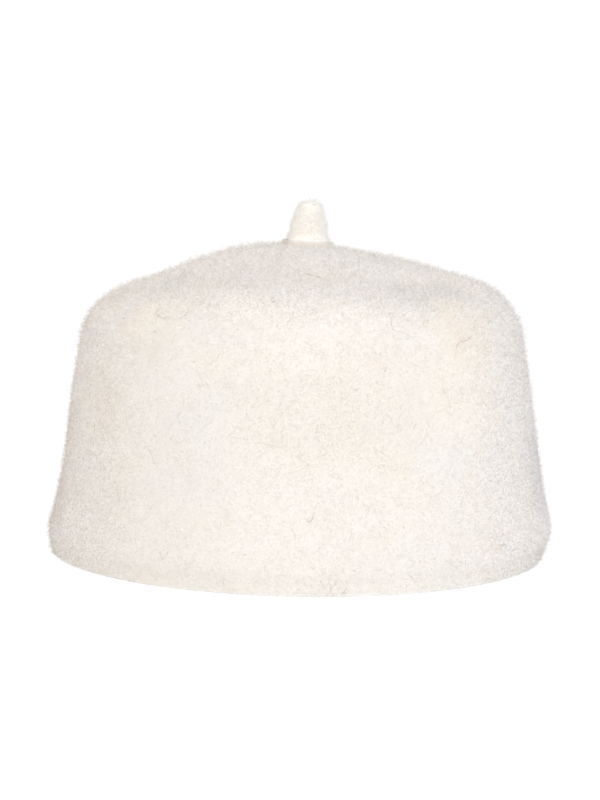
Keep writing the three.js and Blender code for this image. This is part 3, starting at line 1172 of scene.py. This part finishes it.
hair_beige = felt_material("hair_beige", BEIGE, tints=0.3, shades=BEIGE_SHADES)
grow(
    "lying_hairs",
    crown_felt,
    lambda f: outward(f) and f.center.z > HAIRS_FROM,
    HAIRS_PER_MM2,
    HAIRS_SEED,
    hair_beige,
    "white_felt",
    LYING_HAIR,
)

# %% [markdown]
# A few hairs show one by one. The most striking are two that curl towards each other on the wall,
# high up on the left. Their points are read off the picture and set on the felt. Each becomes a
# smooth curve with a round skin. The dark bits are short, thick hairs of the same kind; the two at
# the ends of the stub's foot are painted shade in the corners there.

# %% Single hairs and dark bits
HAIR_THICK = 0.13  # mm
# A hair has the pixels that it runs through, and its thickness in mm.
Hair = namedtuple("Hair", "name pixels mm", defaults=(HAIR_THICK,))
# A bit has the pixel of its middle, and its turn in degrees.
Bit = namedtuple("Bit", "pixel turn")
HAIRS = [
    Hair("left curl", [(162, 307.2), (158.4, 309.8), (156, 312.4), (158.8, 315.8), (162.8, 318.3)]),
    Hair("left curl's end", [(162.8, 318.3), (165.2, 318.4), (166.8, 316.2)]),
    Hair("right curl", [(187.9, 308.5), (187.2, 312.5), (183.4, 316.8), (179.6, 319)]),
    Hair("squiggle", [(271.3, 300.3), (272.9, 301.9), (274.3, 301.3), (275.6, 303)], 0.2),
    Hair("on the mound", [(302.6, 273.5), (308, 274), (313.1, 275.4), (319, 276.8), (324.6, 280.2)]),
    Hair("on the mound's left", [(255, 245), (261, 244.2), (267, 245), (271, 247)]),
    Hair("low in front", [(306.5, 518.6), (309, 521.8), (311.3, 521), (312.9, 516.7), (313.5, 512.2)]),
    Hair("low on the right", [(499, 543), (502, 545.5), (505, 544), (507, 547)]),
    Hair("near the rim", [(341.5, 595.2), (344, 592), (346.7, 588.2)], 0.09),
    Hair("under the shoulder", [(456, 346), (460, 342), (466, 340.5), (472, 336)]),
]
BITS = [
    Bit((190.3, 320.6), 30),
    Bit((238, 329), -40),
    Bit((154.6, 331.2), 50),
    Bit((194, 362), -30),
    Bit((135.3, 351.8), 20),
    Bit((115.5, 344.5), 60),
    Bit((123.8, 318.4), -10),
    Bit((296.9, 333.7), 70),
    Bit((387, 299), 10),
    Bit((385, 371), -60),
    Bit((484, 317.5), 50),
    Bit((245, 555), 15),
    Bit((320.9, 581.5), -20),
    Bit((427.6, 320.3), 30),
    Bit((384.1, 527.6), -40),
    Bit((497.4, 444.7), 70),
    Bit((355, 571), 45),
    Bit((403.5, 527.6), 80),
]
# These two dark bits are painted shade, in the corners between the stub's foot and the crown.
FOOT_SHADE_BITS = [
    Bit((287.2, 239.3), 10),
    Bit((328.4, 241.5), -25),
]
HAIR_LIFT = 0.45 * MM  # a hair lies on the nap
LEAST_FACING = 0.3  # where the felt turns away, a hair isn't lifted more than it would be here
FOOT_SHADE_THICK = 0.36 * MM
BEFORE_FOOT = 3 * MM  # how far the foot's bits are in front of the stub's middle
BIT_LIFT = 0.06 * MM
BIT_THICK = 0.20 * MM
BIT_LONG = 2.0  # pixels
ROOT_SHARE, END_SHARE = 0.6, 0.4  # of the thickness
BROWN = (0.47, 0.42, 0.35, 1)


def strand(data, places, thick):
    """Adds one smooth strand through the places to a curve."""
    line = data.splines.new("BEZIER")
    line.bezier_points.add(len(places) - 1)
    for point, place in zip(line.bezier_points, places):
        point.co = place
        point.radius = thick
        point.handle_left_type = "AUTO"
        point.handle_right_type = "AUTO"
    line.bezier_points[0].radius = ROOT_SHARE * thick
    line.bezier_points[-1].radius = END_SHARE * thick


def lying(pixels, lift):
    """The places that show at those pixels, a little over the crown's surface."""
    places = []
    for pixel in pixels:
        place, normal = on_felt(crown_surface, *pixel)
        back = -view_way(*pixel).normalized()
        if place:
            places.append(place + back * (lift / max(LEAST_FACING, back.dot(normal))))
    return places


def bit_pixels(row):
    """The two ends and the middle of a bit in the picture."""
    turn = math.radians(row.turn)
    step = (math.cos(turn) * BIT_LONG / 2, math.sin(turn) * BIT_LONG / 2)
    return [(row.pixel[0] + k * step[0], row.pixel[1] + k * step[1]) for k in (-1, 0, 1)]


def beside_foot(pixels):
    """The places that show at those pixels just in front of the stub's middle."""
    start = camera.matrix_world.translation
    places = []
    for pixel in pixels:
        way = view_way(*pixel)
        places.append(start + way * ((STUB_FOOT[1] - BEFORE_FOOT - start.y) / way.y))
    return places


singles = bpy.data.curves.new("single_hairs", "CURVE")
singles.dimensions = "3D"
singles.bevel_depth = 0.5  # so that a point's radius is the strand's thickness there
singles.bevel_resolution = 1
singles.resolution_u = 5
singles.use_fill_caps = True
for row in HAIRS:
    strand(singles, lying(row.pixels, HAIR_LIFT), row.mm * MM)
for row in BITS:
    strand(singles, lying(bit_pixels(row), BIT_LIFT), BIT_THICK)
for row in FOOT_SHADE_BITS:
    strand(singles, beside_foot(bit_pixels(row)), FOOT_SHADE_THICK)

drawn = bpy.data.objects.new("drawn_hairs", singles)
scene.collection.objects.link(drawn)
graph = bpy.context.evaluated_depsgraph_get()
graph.update()
mesh = bpy.data.meshes.new_from_object(drawn.evaluated_get(graph), depsgraph=graph)
bpy.data.objects.remove(drawn)
hair_brown = felt_material("hair_brown", BROWN, tints=0.2)
piece = bpy.data.objects.new("single_hairs", mesh)
scene.collection.objects.link(piece)
finished(piece, mesh, hair_brown)

# %% [markdown]
# Last, the finished cap is measured and compared with its frame. Only the nap may stand past it, by
# about a millimetre, and the cap has to stand at the same height.

# %% Sizes of the frame and of the finished piece
low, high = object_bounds()
pairs = zip((*low, *high), (*cad_low, *cad_high))
print("grown by mm:", [round((a - b) / MM, 2) for a, b in pairs])
